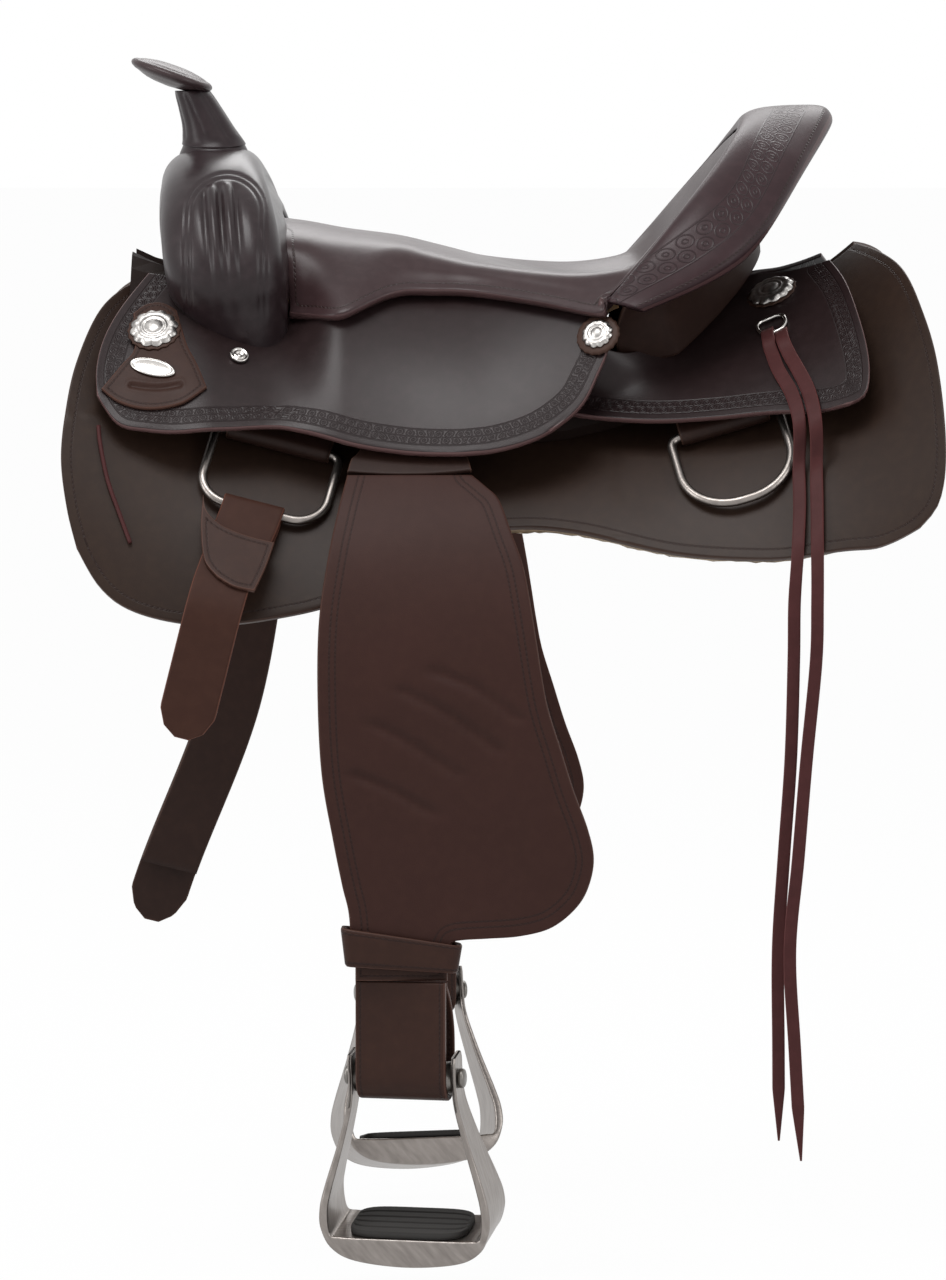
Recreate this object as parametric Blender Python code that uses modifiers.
"""Trail saddle with horn, swell, dished seat, Cheyenne roll, draped skirts and jockeys, fenders and stirrups.

Metres, +Z up. The front (horn) is -X, the back (cantle) is +X and the near side is -Y.
The origin is on the middle plane, at the spine, where the fleece rests on the horse's back.
Every draped leather is laid on one form of that back: a cross section is an arc whose slope
starts at the spine and steepens down the flank, and each layer has its own offset from it.
"""

import math

import bmesh
import bpy
from mathutils import Matrix, Vector

# Form of the back: slope of the cross section at the spine and at ARC_SPAN down the flank
SPINE_SLOPE = math.radians(20.0)
FLANK_SLOPE = math.radians(58.0)
FRONT_TWIST = math.radians(40.0)
REAR_TWIST = math.radians(8.0)
ARC_SPAN = 0.30
FRONT_RISE = 1.2
REAR_RISE = 0.72
REAR_KICK = 3.0
KICK_START = 0.22

# Leathers and wood, thickness of each and the gap kept between two layers
LAYER_GAP = 0.0005
FLEECE = 0.0082
SKIRT = 0.0048
RIG_LEATHER = 0.0030
BAR_THICK = 0.0228
TONGUE = 0.0040
JOCKEY = 0.0040
REAR_JOCKEY = 0.0040
FENDER = 0.0045
STRAP = 0.0080
SPINE_GAP = 0.012

# Offsets from the form, built up layer by layer
SKIRT_IN = FLEECE + LAYER_GAP + 0.0008
SKIRT_OUT = SKIRT_IN + SKIRT
BAR_IN = SKIRT_OUT + LAYER_GAP + 0.0008
BAR_OUT = BAR_IN + BAR_THICK
RIG_IN = SKIRT_OUT + LAYER_GAP
TONGUE_IN = BAR_OUT + 0.0007
JOCKEY_IN = 0.0500
REAR_JOCKEY_IN = 0.0396

# Rings
RING_ROD = 0.0070
RING_PLAY = 0.0007
FRONT_RING_WIDE = 0.105
FRONT_RING_DEEP = 0.070
REAR_RING_WIDE = 0.094
REAR_RING_DEEP = 0.080

# Fenders, stirrup leathers and stirrups
PIVOT_X = -0.0486
PIVOT_Z = -0.010
FLEX_Z = -0.080
FENDER_RADIUS = 0.256
FENDER_FOOT = -0.440
STRAP_WIDE = 0.070
TURN_CUT = -0.458
TURN_GAP = 0.0006
STIRRUP_YAW = math.radians(13.0)
STIRRUP_TILT = math.radians(12.0)
BOLT_Z = -0.533
BOLT_RADIUS = 0.004
SLEEVE_RADIUS = 0.0125
LOOP_LEATHER = 0.0045
EYE_HALF = 0.0405
BAND = 0.0036
HOLE_PLAY = 0.0003

OBJECT_NAME = "trail_saddle"


def clear_scene():
    for obj in list(bpy.data.objects):
        bpy.data.objects.remove(obj, do_unlink=True)


def new_collection(name):
    group = bpy.data.collections.new(name)
    bpy.context.scene.collection.children.link(group)
    return group


clear_scene()
PARTS = new_collection(OBJECT_NAME)
CUTTERS = new_collection("cutters")


def material(name, color, roughness, metallic=0.0):
    made = bpy.data.materials.new(name)
    made.use_nodes = True
    shader = made.node_tree.nodes["Principled BSDF"]
    shader.inputs["Base Color"].default_value = (*color, 1.0)
    shader.inputs["Roughness"].default_value = roughness
    shader.inputs["Metallic"].default_value = metallic
    return made


LEATHER = material("dark_brown_leather", (0.045, 0.026, 0.022), 0.45)
JOCKEY_LEATHER = material("plum_brown_leather", (0.075, 0.055, 0.057), 0.42)
SEAT_LEATHER = material("seat_leather", (0.095, 0.075, 0.070), 0.40)
LACE_LEATHER = material("red_brown_lace", (0.075, 0.022, 0.022), 0.55)
WOOL = material("wool_fleece", (0.42, 0.36, 0.28), 0.95)
WOOD = material("tree_wood", (0.42, 0.30, 0.17), 0.6)
BRUSHED = material("brushed_aluminium", (0.42, 0.40, 0.38), 0.35, 1.0)
SILVER = material("bright_silver", (0.80, 0.79, 0.77), 0.22, 1.0)
RUBBER = material("black_rubber", (0.02, 0.02, 0.02), 0.7)
STEEL = material("steel", (0.45, 0.45, 0.45), 0.4, 1.0)


def node(name, mesh, look, group=None):
    obj = bpy.data.objects.new(name, mesh)
    (group or PARTS).objects.link(obj)
    mesh.materials.clear()
    mesh.materials.append(look)
    mesh.shade_smooth()
    mesh.set_sharp_from_angle(angle=math.radians(50))
    if group is CUTTERS:
        obj.hide_render = True
        obj.display_type = "WIRE"
    return obj


def mesh_from(points, faces, fix_normals=True):
    work = bmesh.new()
    verts = [work.verts.new(p) for p in points]
    for face in faces:
        work.faces.new([verts[i] for i in face])
    if fix_normals:
        bmesh.ops.recalc_face_normals(work, faces=work.faces)
    mesh = bpy.data.meshes.new("mesh")
    work.to_mesh(mesh)
    work.free()
    return mesh


def origin_at(obj, point):
    """Put the object's origin on its joint's axis and leave the shape where it is."""
    point = Vector(point)
    obj.data.transform(Matrix.Translation(-point))
    obj.location = point
    return obj


def smooth_step(value):
    value = min(max(value, 0.0), 1.0)
    return value * value * (3 - 2 * value)


def mix(a, b, t):
    return a + (b - a) * t


def spline(points, count):
    """Points spaced evenly along a smooth curve through the given ones, any dimension."""
    ends = [points[0]] + list(points) + [points[-1]]
    dense = []
    for i in range(len(points) - 1):
        p0, p1, p2, p3 = ends[i : i + 4]
        for k in range(12):
            t = k / 12
            dense.append(
                tuple(
                    0.5
                    * (
                        2 * b
                        + (c - a) * t
                        + (2 * a - 5 * b + 4 * c - d) * t * t
                        + (3 * b - a - 3 * c + d) * t**3
                    )
                    for a, b, c, d in zip(p0, p1, p2, p3)
                )
            )
    dense.append(tuple(points[-1]))
    run = [0.0]
    for a, b in zip(dense, dense[1:]):
        run.append(run[-1] + math.dist(a, b))
    out = []
    j = 0
    for i in range(count + 1):
        want = run[-1] * i / count
        while j < len(run) - 2 and run[j + 1] < want:
            j += 1
        t = (want - run[j]) / max(run[j + 1] - run[j], 1e-12)
        out.append(tuple(mix(a, b, min(t, 1.0)) for a, b in zip(dense[j], dense[j + 1])))
    return out


# The form of the back


def rise(x):
    if x < 0:
        return FRONT_RISE * x * x
    return REAR_RISE * x * x + (REAR_KICK * (x - KICK_START) ** 2 if x > KICK_START else 0.0)


def arc_at(x):
    """Start slope, curvature and centre of the cross section at x."""
    twist = FRONT_TWIST * -x if x < 0 else -REAR_TWIST * x
    start = SPINE_SLOPE + twist
    end = FLANK_SLOPE + (FRONT_TWIST * -x if x < 0 else REAR_TWIST * x)
    curve = (end - start) / ARC_SPAN
    return start, curve, -math.sin(start) / curve, rise(x) - math.cos(start) / curve


def on_form(x, s, offset):
    """Distance from the middle plane and height, s down the arc and offset out from it."""
    start, curve, yc, zc = arc_at(x)
    slope = start + curve * s
    reach = 1 / curve + offset
    return yc + reach * math.sin(slope), zc + reach * math.cos(slope)


def s_of(x, z, offset):
    """How far down the arc a point at height z and this offset lies."""
    start, curve, yc, zc = arc_at(x)
    return (math.acos(min((z - zc) / (1 / curve + offset), 1.0)) - start) / curve


def height_on(x, y, offset):
    start, curve, yc, zc = arc_at(x)
    return zc + math.sqrt((1 / curve + offset) ** 2 - (abs(y) - yc) ** 2)


def form_point(side, x, s, offset):
    y, z = on_form(x, s, offset)
    return Vector((x, side * y, z))


def form_normal(side, x, s, offset):
    e = 0.002
    along = form_point(side, x + e, s, offset) - form_point(side, x - e, s, offset)
    down = form_point(side, x, s + e, offset) - form_point(side, x, s - e, offset)
    normal = along.cross(down).normalized()
    return normal if normal.z > 0 else -normal


def coons(bottom, right, top, left, u, v):
    """Point of the patch between four edges, bottom and top from left to right."""
    n, m = len(bottom) - 1, len(left) - 1
    i, j = round(u * n), round(v * m)
    b, t, lf, r = bottom[i], top[i], left[j], right[j]
    c00, c10, c01, c11 = bottom[0], bottom[-1], top[0], top[-1]
    return tuple(
        (1 - v) * b[k]
        + v * t[k]
        + (1 - u) * lf[k]
        + u * r[k]
        - (1 - u) * (1 - v) * c00[k]
        - u * (1 - v) * c10[k]
        - (1 - u) * v * c01[k]
        - u * v * c11[k]
        for k in (0, 1)
    )


def edge_points(edge, count):
    """An edge with count + 1 points is used as it is, any other is drawn through as a smooth curve."""
    return edge if len(edge) == count + 1 else spline(edge, count)


def draped(name, side, edges, offset, thick, nu, nv, look, at=None):
    """A leather over four edges in (x, s). On the form both faces are laid as layers; with at it is thickened."""
    bottom, right, top, left = (
        edge_points(edge, count) for edge, count in zip(edges, (nu, nv, nu, nv))
    )
    spots = [coons(bottom, right, top, left, i / nu, j / nv) for j in range(nv + 1) for i in range(nu + 1)]
    wide = nu + 1
    quads = [(a, a + 1, a + wide + 1, a + wide) for a in (j * wide + i for j in range(nv) for i in range(nu))]
    if side > 0:
        quads = [q[::-1] for q in quads]
    if at is not None:
        points = [at(x, s) for x, s in spots]
        obj = node(name, mesh_from(points, quads, fix_normals=False), look)
        solid = obj.modifiers.new("thickness", "SOLIDIFY")
        solid.thickness = thick
        solid.offset = 1.0
        solid.use_even_offset = True
        return obj
    points = [form_point(side, x, s, offset(x, s) + thick) for x, s in spots]
    points += [form_point(side, x, s, offset(x, s)) for x, s in spots]
    under = len(spots)
    rim = list(range(wide)) + [j * wide + nu for j in range(1, nv + 1)]
    rim += [nv * wide + i for i in range(nu - 1, -1, -1)] + [j * wide for j in range(nv - 1, 0, -1)]
    faces = quads + [tuple(under + i for i in q[::-1]) for q in quads]
    for a, b in zip(rim, rim[1:] + rim[:1]):
        wall = (b, a, under + a, under + b)
        faces.append(wall if side < 0 else wall[::-1])
    return node(name, mesh_from(points, faces, fix_normals=False), look)


def down_form(points, offset):
    """Edge points given as (x, height) turned into (x, distance down the arc)."""
    return [(x, s_of(x, z, offset)) for x, z in points]


def lofted(name, rings, look, closed=True, group=None, cap=True):
    """A closed loft through rings of equal count."""
    count = len(rings[0])
    points = [p for ring in rings for p in ring]
    faces = []
    for r in range(len(rings) - 1):
        for i in range(count):
            j = (i + 1) % count
            faces.append((r * count + i, r * count + j, (r + 1) * count + j, (r + 1) * count + i))
    if cap:
        faces.append(tuple(range(count)))
        faces.append(tuple((len(rings) - 1) * count + i for i in range(count)))
    return node(name, mesh_from(points, faces, fix_normals=closed), look, group)


def cut(obj, cutter, operation="DIFFERENCE", solver="EXACT"):
    step = obj.modifiers.new("cut", "BOOLEAN")
    step.operation = operation
    step.object = cutter
    step.solver = solver
    return obj


def frame_on(side, x, s, offset, lean=0.0):
    """Matrix with Z along the form's outward normal and X towards the back."""
    normal = form_normal(side, x, s, offset)
    along = Vector((1, 0, 0))
    along = (along - normal * along.dot(normal)).normalized()
    across = normal.cross(along)
    turn = Matrix((along, across, normal)).transposed().to_4x4()
    return Matrix.Translation(form_point(side, x, s, offset)) @ turn @ Matrix.Rotation(lean, 4, "Z")


def turned(name, profile, steps, look, matrix=None, group=None):
    """A profile of (radius, height) from the top down its outer side, turned about Z."""
    mesh = bpy.data.meshes.new("mesh")
    mesh.from_pydata(
        [(r, 0.0, z) for r, z in profile], [(i, i + 1) for i in range(len(profile) - 1)], []
    )
    obj = node(name, mesh, look, group)
    screw = obj.modifiers.new("turn", "SCREW")
    screw.steps = steps
    screw.render_steps = steps
    screw.use_merge_vertices = True
    screw.merge_threshold = 0.00001
    screw.use_smooth_shade = True
    if matrix is not None:
        obj.matrix_world = matrix
    return obj


def rod(name, points, radius, look, closed=True, sides=2):
    """A round rod along points, closed into a ring or with filled ends."""
    curve = bpy.data.curves.new("rod", "CURVE")
    curve.dimensions = "3D"
    curve.bevel_depth = radius
    curve.bevel_resolution = sides
    curve.use_fill_caps = not closed
    line = curve.splines.new("POLY")
    line.points.add(len(points) - 1)
    for slot, point in zip(line.points, points):
        slot.co = (*point, 1.0)
    line.use_cyclic_u = closed
    obj = bpy.data.objects.new(name, curve)
    PARTS.objects.link(obj)
    curve.materials.append(look)
    return obj


# Skirts and fleeces


def skirt_edges(inset, offset):
    front = [(-0.302, -0.134), (-0.310, -0.104), (-0.315, -0.067), (-0.312, -0.030), (-0.305, 0.004),
             (-0.289, 0.041), (-0.268, 0.059), (-0.243, 0.068)]
    foot = [(-0.302, -0.134), (-0.284, -0.163), (-0.258, -0.181), (-0.207, -0.191), (-0.150, -0.186),
            (-0.093, -0.171), (-0.018, -0.131), (0.028, -0.120), (0.081, -0.123), (0.157, -0.138),
            (0.262, -0.136), (0.308, -0.129), (0.337, -0.114)]
    back = [(0.337, -0.114), (0.352, -0.093), (0.357, -0.055), (0.353, 0.003), (0.344, 0.042),
            (0.329, 0.075), (0.300, 0.088)]
    front = [(x + inset, z + (inset if k == 0 else 0.0)) for k, (x, z) in enumerate(front)]
    foot = [(x + (inset if k == 0 else -inset if k == len(foot) - 1 else 0.0), z + inset)
            for k, (x, z) in enumerate(foot)]
    back = [(x - inset, z + (inset if k == 0 else 0.0)) for k, (x, z) in enumerate(back)]
    left = down_form(front, offset)
    bottom = down_form(foot, offset)
    right = down_form(back, offset)
    top = [left[-1], (-0.215, SPINE_GAP + 0.006), (-0.160, SPINE_GAP), (-0.05, SPINE_GAP), (0.08, SPINE_GAP),
           (0.20, SPINE_GAP), (0.27, SPINE_GAP + 0.001), right[-1]]
    return bottom, right, top, left


def rear_ease(x):
    """Extra room between the layers where the form turns up at the back."""
    return 0.0012 * smooth_step((x - 0.20) / 0.06)


def build_skirt(side, tag):
    draped(f"skirt_{tag}", side, skirt_edges(0.0, SKIRT_IN), lambda x, s: SKIRT_IN + rear_ease(x), SKIRT, 20, 7,
           LEATHER)
    draped(f"fleece_{tag}", side, skirt_edges(0.003, SKIRT_IN), lambda x, s: 0.0, FLEECE, 20, 7, WOOL)


# Tree: two bars with a groove for the stirrup leather, the fork and the cantle board

BAR_TOP = 0.028
BAR_FOOT = 0.146
GROOVE_HALF = 0.049
GROOVE_REAR = 0.068
BAR_ENDS = (-0.266, 0.268)


def bar_out(x):
    tip = min(1.0, (x - BAR_ENDS[0]) / 0.034, (BAR_ENDS[1] - x) / 0.070)
    thick = BAR_THICK * mix(0.42, 1.0, smooth_step(tip))
    if -GROOVE_HALF < x - PIVOT_X < GROOVE_REAR:
        thick -= 0.90 * max(rise(x) - rise(PIVOT_X), -0.001) + 0.0004
        thick -= 0.0014 * smooth_step((x - PIVOT_X - 0.020) / 0.024)
    return BAR_IN + thick


def bar_foot(x):
    return BAR_FOOT - 0.012 * smooth_step((x - 0.06) / 0.10) - 0.016 * smooth_step((-0.12 - x) / 0.12)


def build_bar(side, tag):
    g0, g1 = PIVOT_X - GROOVE_HALF, PIVOT_X + GROOVE_REAR
    step = 0.0015
    stations = [BAR_ENDS[0], -0.250, -0.232, -0.200, -0.168, -0.134, g0 - step, g0 + step,
                -0.074, PIVOT_X, -0.024, 0.000, g1 - step, g1 + step, 0.044, 0.072, 0.102, 0.136, 0.170,
                0.204, 0.236, BAR_ENDS[1]]
    rings = []
    for x in stations:
        foot, out = bar_foot(x), bar_out(x)
        thick = out - BAR_IN
        ease = rear_ease(x)
        ring = [form_point(side, x, mix(BAR_TOP, foot, k / 5), BAR_IN + 2 * ease) for k in range(6)]
        outer = [(foot + 0.001, 0.45), (foot - 0.008, 0.92), (foot - 0.020, 1.0), (0.102, 1.0),
                 (0.078, 1.0), (0.054, 0.97), (BAR_TOP + 0.008, 0.80), (BAR_TOP - 0.001, 0.42)]
        ring += [form_point(side, x, s, BAR_IN + 2 * ease + thick * share) for s, share in outer]
        rings.append(ring)
    return lofted(f"tree_bar_{tag}", rings, WOOD)


# Swell: half of an arch, from the middle plane to where its leg lands on the bar.
# Each station is (outer y, z), (gullet y, z), front x, back x, lean of the back face
SWELL = [
    ((0.000, 0.1660), (0.000, 0.1180), -0.2430, -0.1500, 0.0130),
    ((0.045, 0.1625), (0.018, 0.1165), -0.2430, -0.1490, 0.0130),
    ((0.090, 0.1480), (0.034, 0.1100), -0.2430, -0.1470, 0.0110),
    ((0.125, 0.1225), (0.046, 0.1000), -0.2425, -0.1440, 0.0080),
    ((0.1455, 0.0890), (0.052, 0.0935), -0.2400, -0.1420, 0.0050),
    ((0.1460, 0.0640), (0.055, 0.0885), -0.2380, -0.1412, 0.0030),
    ((0.1360, 0.0420), (0.057, 0.0840), -0.2365, -0.1410, 0.0020),
    ((0.1185, 0.0230), (0.058, 0.0800), -0.2360, -0.1410, 0.0020),
]
COVER = 0.0045
COVER_GAP = 0.0013
SWELL_SEAT = 0.0034


def swell_ring(station, inset, sink):
    """Closed ring of one station. inset shrinks it all round, sink sets how far the foot goes in."""
    (yo, zo), (yi, zi), front, back, lean = SWELL[station]
    outer, inner = Vector((0, yo, zo)), Vector((0, yi, zi))
    up = (outer - inner).normalized()
    outer, inner = outer - up * inset, inner + up * inset
    front, back = front + inset, back - inset
    deep = (outer - inner).length
    low = station / (len(SWELL) - 1)
    front_x, front_n = mix(0.030, 0.060, low) - inset, mix(0.024, 0.050, low) - inset
    back_x, back_n = mix(0.020, 0.030, low) - inset, 0.026 - inset
    points = [(front + 0.004, 0.0), (front, 0.004)]
    arc_front = [(front + front_x * (1 - math.cos(math.radians(18 * k))),
                  deep - front_n * (1 - math.sin(math.radians(18 * k)))) for k in range(6)]
    arc_back = [(back - lean - back_x * (1 - math.sin(math.radians(22.5 * k))),
                 deep - back_n * (1 - math.cos(math.radians(22.5 * k)))) for k in range(5)]
    points += arc_front + arc_back + [(back - lean * 0.3, (deep - back_n) * 0.45), (back, 0.004), (back - 0.004, 0.0)]
    ring = []
    for x, n in points:
        p = inner + up * n
        if station == len(SWELL) - 1:
            y = mix(inner.y, outer.y, n / deep)
            p = Vector((0, y, height_on(x, y, BAR_OUT + SWELL_SEAT - sink)))
        ring.append(Vector((x, -p.y, p.z)))
    return ring


def swell_solid(name, inset, sink, look, group=None):
    rings = [swell_ring(k, inset, sink) for k in range(len(SWELL))]
    count = len(rings[0])
    points = [p for ring in rings for p in ring]
    for p in points[:count]:
        p.y = 0.0
    faces = []
    for r in range(len(rings) - 1):
        for i in range(count):
            j = (i + 1) % count
            faces.append((r * count + i, (r + 1) * count + i, (r + 1) * count + j, r * count + j))
    foot = (len(rings) - 1) * count
    for i in range(count // 2 - 1):
        faces.append((foot + i, foot + count - 1 - i, foot + count - 2 - i, foot + i + 1))
    mesh = mesh_from(points, faces, fix_normals=False)
    obj = node(name, mesh, look, group)
    mirror = obj.modifiers.new("off_half", "MIRROR")
    mirror.use_axis = (False, True, False)
    mirror.merge_threshold = 0.0001
    return obj


def build_swell():
    cover = swell_solid("swell_cover", 0.0, 0.0, LEATHER)
    cavity = swell_solid("swell_cavity", COVER, 0.012, WOOD, CUTTERS)
    cut(cover, cavity, solver="MANIFOLD")
    swell_solid("fork", COVER + COVER_GAP, 0.0, WOOD)


# Horn: neck and cap, the cap leaning forwards

CAP_TILT = math.radians(19.5)
CAP_CENTRE = Vector((-0.236, 0.0, 0.2245))
CAP_RADIUS = 0.0335


def cap_profile(grow):
    r = CAP_RADIUS + grow
    return [(0.0, 0.0072 + grow), (0.010, 0.0070 + grow), (0.020, 0.0056 + grow), (0.028, 0.0036 + grow),
            (r - 0.0008, 0.0016), (r, -0.0006), (r - 0.0014, -0.0030 - grow), (0.026, -0.0054 - grow),
            (0.018, -0.0082 - grow), (0.0, -0.0100 - grow)]


def build_horn():
    seat = Matrix.Translation(CAP_CENTRE) @ Matrix.Rotation(CAP_TILT, 4, "Y")
    turned("horn_cap", cap_profile(0.0), 24, LEATHER, seat)
    cap_room = turned("cap_room", cap_profile(LAYER_GAP), 24, LEATHER, seat, CUTTERS)
    stations = [
        (-0.2030, 0.140, 0.0240, 0.0300),
        (-0.2030, 0.150, 0.0270, 0.0310),
        (-0.2030, 0.160, 0.0278, 0.0290),
        (-0.2035, 0.171, 0.0235, 0.0225),
        (-0.2075, 0.183, 0.0190, 0.0195),
        (-0.2130, 0.196, 0.0160, 0.0175),
        (-0.2185, 0.208, 0.0135, 0.0160),
        (-0.2200, 0.2115, 0.0126, 0.0150),
    ]
    rings = []
    for x, z, rx, ry in stations:
        rings.append([Vector((x + rx * math.cos(math.radians(a)), ry * math.sin(math.radians(a)), z))
                      for a in range(0, 360, 18)])
    neck = lofted("horn_neck", rings, LEATHER)
    swell_room = swell_solid("swell_room", -LAYER_GAP - 0.0002, 0.004, LEATHER, CUTTERS)
    cut(neck, swell_room, solver="MANIFOLD")
    cut(neck, cap_room)


# Across the front part of the seat: x, height of the middle, rim (y, z), height of the lower edge
SEAT_SECTIONS = [
    (-0.158, 0.1130, (0.085, 0.0950), 0.0440),
    (-0.130, 0.1095, (0.084, 0.0945), 0.0420),
    (-0.100, 0.1040, (0.080, 0.0915), 0.0420),
    (-0.060, 0.0985, (0.079, 0.0920), 0.0585),
    (-0.030, 0.0915, (0.082, 0.0860), 0.0600),
    (0.000, 0.0835, (0.087, 0.0800), 0.0590),
    (0.050, 0.0690, (0.106, 0.0745), 0.0520),
    (0.085, 0.0620, (0.123, 0.0735), 0.0450),
]
# Behind them the rows fan out: middle, rim and edge as points
SEAT_FAN = [
    ((0.124, 0.0, 0.0605), (0.120, 0.1315, 0.0790), (0.0985, None, 0.0440)),
    ((0.158, 0.0, 0.0740), (0.137, 0.1330, 0.0920), (0.1008, None, 0.0465)),
    ((0.188, 0.0, 0.1120), (0.150, 0.1315, 0.1080), (0.1018, None, 0.0490)),
]


SEAT_LEATHER_THICK = 0.0065
SEAT_LAP = 0.0035
SEAT_LIFT = SEAT_LEATHER_THICK + 0.0013


def seat_low(x):
    """Height of the seat's lower edge."""
    known = [(row[0], row[3]) for row in SEAT_SECTIONS]
    for (x0, z0), (x1, z1) in zip(known, known[1:]):
        if x <= x1:
            return mix(z0, z1, max(x - x0, 0.0) / (x1 - x0))
    return known[-1][1]


# Seat jockeys: the aprons that cover the tops of the fenders


def jockey_in(x, z):
    base = mix(0.026, JOCKEY_IN + 0.0005, smooth_step((x + 0.288) / 0.09))
    climb = 0.33 * smooth_step((x + 0.16) / 0.06) + 1.2 * max(x, 0.0)
    return base + climb * max(z + 0.063, 0.0)


def jockey_offset(x, s):
    offset = JOCKEY_IN
    for _ in range(6):
        offset = jockey_in(x, on_form(x, s, offset)[1])
    return offset


def jockey_y(x, z, lift=0.0):
    """How far out the jockey's top surface lies at x and height z."""
    _, curve, yc, zc = arc_at(x)
    reach = 1 / curve + jockey_in(x, z) + JOCKEY + lift
    return yc + math.sqrt(reach**2 - (z - zc) ** 2)


def over_jockey(points):
    return [(x, s_of(x, z, jockey_in(x, z))) for x, z in points]


def build_jockey(side, tag, swell_room):
    bottom = over_jockey([(-0.288, -0.020), (-0.272, -0.041), (-0.250, -0.0460), (-0.223, -0.0470),
                          (-0.189, -0.045), (-0.154, -0.044), (-0.131, -0.047), (-0.096, -0.056),
                          (-0.062, -0.062), (-0.027, -0.064), (0.000, -0.063), (0.023, -0.060),
                          (0.046, -0.053), (0.060, -0.046)])
    right = over_jockey([(0.060, -0.046), (0.075, -0.035), (0.086, -0.023), (0.095, -0.005),
                         (0.103, 0.014), (0.106, 0.037)])
    under = [(x, seat_low(x) + SEAT_LAP) for x in (-0.136, -0.120, -0.100, -0.080, -0.060, -0.030, 0.000,
                                                    0.030, 0.060, 0.082)]
    top = over_jockey([(-0.252, 0.069), (-0.236, 0.066), (-0.215, 0.052), (-0.190, 0.046),
                       (-0.165, 0.046), (-0.150, 0.0465)] + under + [(0.106, 0.037)])
    left = over_jockey([(-0.288, -0.020), (-0.289, 0.000), (-0.284, 0.022), (-0.272, 0.044), (-0.252, 0.069)])
    obj = draped(f"seat_jockey_{tag}", side, (bottom, right, top, left), jockey_offset, JOCKEY, 22, 6,
                 JOCKEY_LEATHER)
    return cut(obj, swell_room, solver="MANIFOLD")


def rear_in(x, s):
    offset = REAR_JOCKEY_IN
    for _ in range(6):
        z = on_form(x, s, offset)[1]
        offset = REAR_JOCKEY_IN + 0.040 * smooth_step((0.170 - x) / 0.090) * smooth_step((z + 0.032) / 0.055)
    return offset


def build_rear_jockey(side, tag):
    low = down_form([(0.070, -0.035), (0.100, -0.0385), (0.138, -0.040), (0.185, -0.037), (0.230, -0.032),
                     (0.264, -0.030), (0.286, -0.024)], REAR_JOCKEY_IN)
    right = down_form([(0.286, -0.024), (0.298, -0.016), (0.3015, 0.000), (0.300, 0.020), (0.294, 0.045),
                       (0.287, 0.065), (0.277, 0.079)], REAR_JOCKEY_IN)
    left = [low[0], (0.076, s_of(0.076, -0.012, 0.048)), (0.083, s_of(0.083, 0.012, 0.072))]
    top = [left[-1], (0.120, 0.112), (0.155, 0.082), (0.185, 0.050), (0.214, SPINE_GAP + 0.006),
           (0.245, 0.036), right[-1]]
    draped(f"rear_jockey_{tag}", side, (low, right, top, left), rear_in, REAR_JOCKEY, 15, 7, JOCKEY_LEATHER)


# Seat. The groove is where its rear edge meets the Cheyenne roll, from the centre (0) to the side (1)

SEAT_ROWS = 16
SEAT_COLUMNS = 8
ROLL_SPAN = 0.96


def groove(t):
    a = t * math.pi / 2
    fall = 1 - math.cos(a)
    return Vector((0.2068 - 0.1045 * fall, -0.160 * math.sin(a), 0.1807 - 0.129 * fall))


def roll_edge(t):
    half = [(0.0, 0.281, 0.000, 0.190), (0.25, 0.257, -0.085, 0.154), (0.5, 0.2195, -0.142, 0.0975),
            (0.75, 0.185, -0.166, 0.0711), (1.0, 0.1295, -0.175, 0.0463)]
    other = [(-q, x, -y, z) for q, x, y, z in half[2:0:-1]]
    points = spline(other + half, 96)
    best = min(points, key=lambda p: abs(p[0] - t))
    return Vector(best[1:])


def seat_section(middle, rim, edge):
    """Points across one side, middle to lower edge, the last stretch lying on the jockey."""
    mid = middle.lerp(rim, 0.52)
    mid.z = mix(middle.z, rim.z, 0.22)
    rest = Vector((edge.x, -jockey_y(edge.x, edge.z + 0.006, SEAT_LIFT), edge.z + 0.006))
    side = rim.lerp(rest, 0.55)
    side.y -= 0.0030
    side.z += 0.0010
    return [middle, mid, rim, side, rest, edge]


def seat_grid():
    rows = []
    for x, middle, (y, z), low in SEAT_SECTIONS:
        edge = Vector((x, -jockey_y(x, low, SEAT_LIFT), low))
        rows.append(seat_section(Vector((x, 0, middle)), Vector((x, -y, z)), edge))
    for middle, rim, edge in SEAT_FAN:
        rows.append(seat_section(Vector(middle), Vector((rim[0], -rim[1], rim[2])),
                                 Vector((edge[0], -jockey_y(edge[0], edge[2], SEAT_LIFT), edge[2]))))
    rows.append([groove(t) for t in (0.0, 0.31, 0.60, 0.80, 0.93, 1.0)])
    across = [spline([tuple(p) for p in row], SEAT_COLUMNS) for row in rows]
    columns = [spline([row[j] for row in across], SEAT_ROWS) for j in range(SEAT_COLUMNS + 1)]
    return [[Vector(columns[j][i]) for j in range(SEAT_COLUMNS + 1)] for i in range(SEAT_ROWS + 1)]


def seat_normal(grid, i, j):
    """Upper side's normal at a grid point."""
    back, fore = grid[min(i + 1, SEAT_ROWS)][j], grid[max(i - 1, 0)][j]
    out = grid[i][min(j + 1, SEAT_COLUMNS)]
    if j:
        inner = grid[i][j - 1]
    else:
        inner = Vector((out.x, -out.y, out.z))
    return -(back - fore).cross(out - inner).normalized()


def mirrored(obj):
    step = obj.modifiers.new("off_half", "MIRROR")
    step.use_axis = (False, True, False)
    step.merge_threshold = 0.0001
    return obj


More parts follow.
